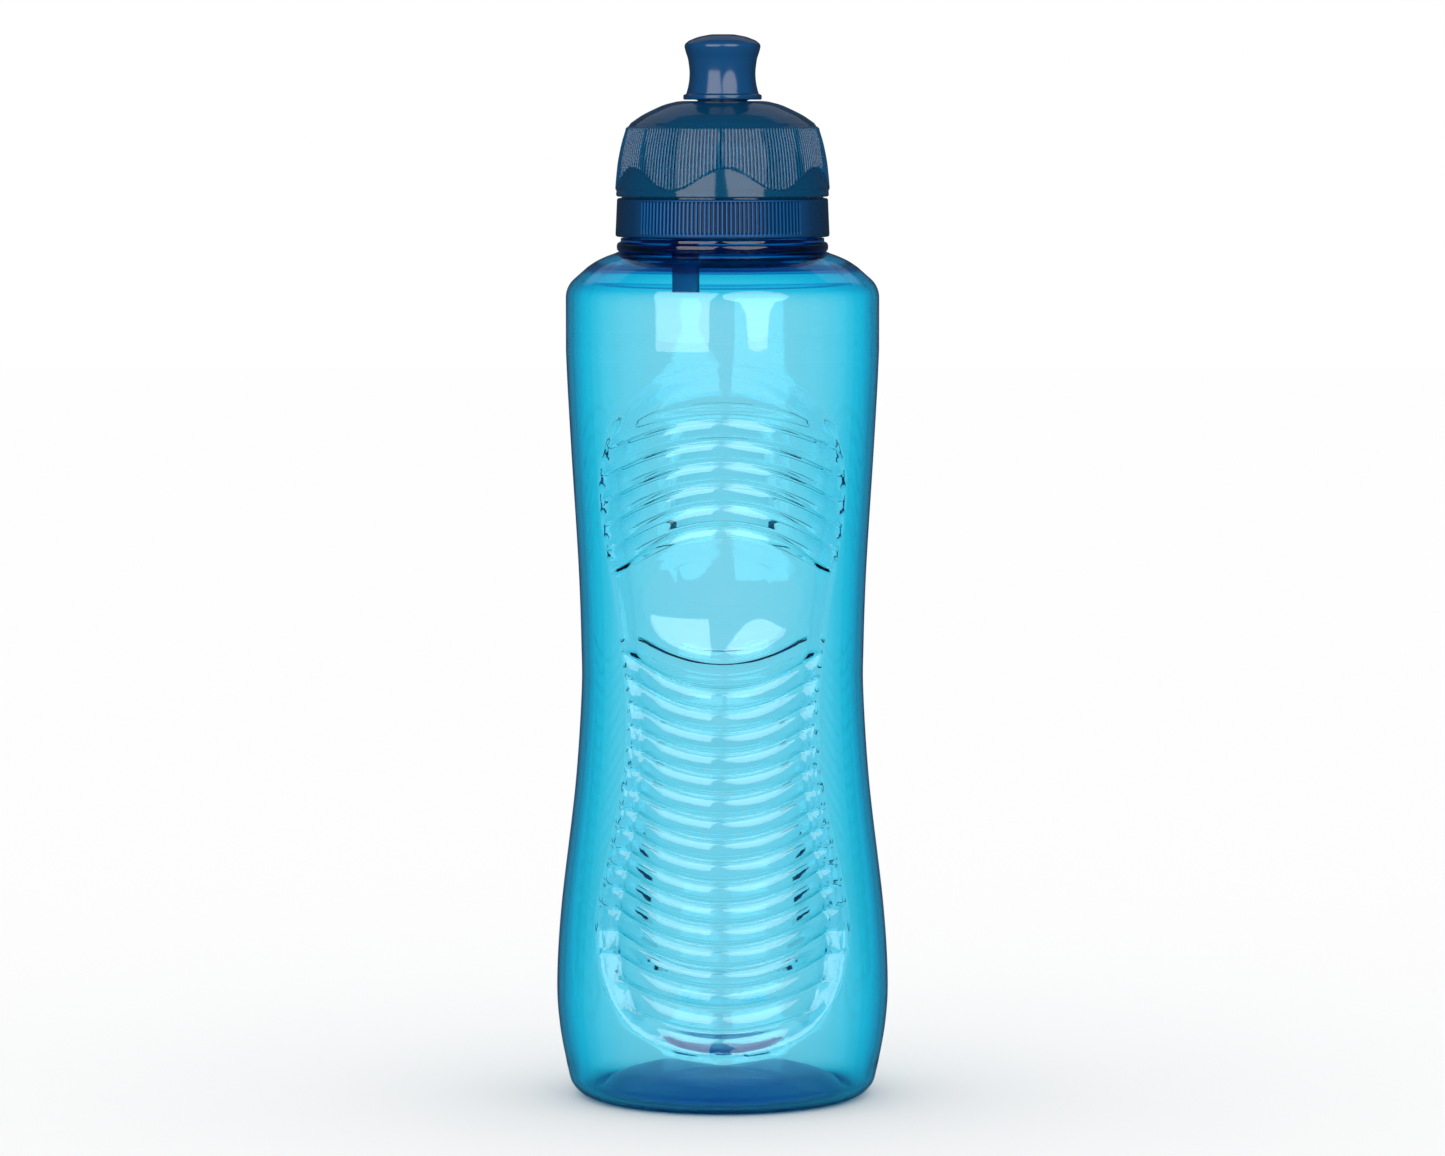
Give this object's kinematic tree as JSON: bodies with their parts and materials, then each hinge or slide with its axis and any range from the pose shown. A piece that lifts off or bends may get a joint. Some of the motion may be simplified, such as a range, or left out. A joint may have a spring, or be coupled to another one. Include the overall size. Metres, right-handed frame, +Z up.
{
  "type": "sports squeeze bottle",
  "caption": "Waisted clear squeeze bottle with ribbed grip panels, a knurled screw ring, a translucent ribbed dome lid and a push-pull drinking spout.",
  "frame": {"origin": "centre of the foot ring, on the surface the bottle stands on", "axes": "+Z up along the bottle's axis; the grip panels face -Y and +Y"},
  "size_m": [0.08, 0.0782, 0.2555],
  "materials": {
    "bottle": "clear cyan, glossy",
    "ring": "deep blue, satin gloss",
    "dome": "translucent deep blue, glossy",
    "carrier": "translucent deep blue, satin",
    "spout": "blue, soft satin",
    "seal": "dark, matte"
  },
  "bodies": {
    "bottle": {"bottle_shell": "bottle"},
    "carrier": {"valve_carrier": "carrier", "neck_seal": "seal", "spout_seal": "seal"},
    "lid": {"screw_ring": "ring", "dome_cover": "dome"},
    "spout": {"spout": "spout"}
  },
  "joints": [
    {"name": "lid_lift", "type": "slide", "parent": "bottle", "child": "carrier", "axis": [0, 0, 1], "range_m": [0, 0.0041]},
    {"name": "lid_turn", "type": "hinge", "parent": "carrier", "child": "lid", "pos_m": [0, 0, 0.212], "axis": [0, 0, 1], "range_deg": [0, 450]},
    {"name": "spout_pull", "type": "slide", "parent": "carrier", "child": "spout", "axis": [0, 0, 1], "range_m": [0, 0.005]}
  ],
  "couplings": [
    {"joint": "lid_lift", "follows": "lid_turn", "m_per_rad": 0.0005093}
  ]
}
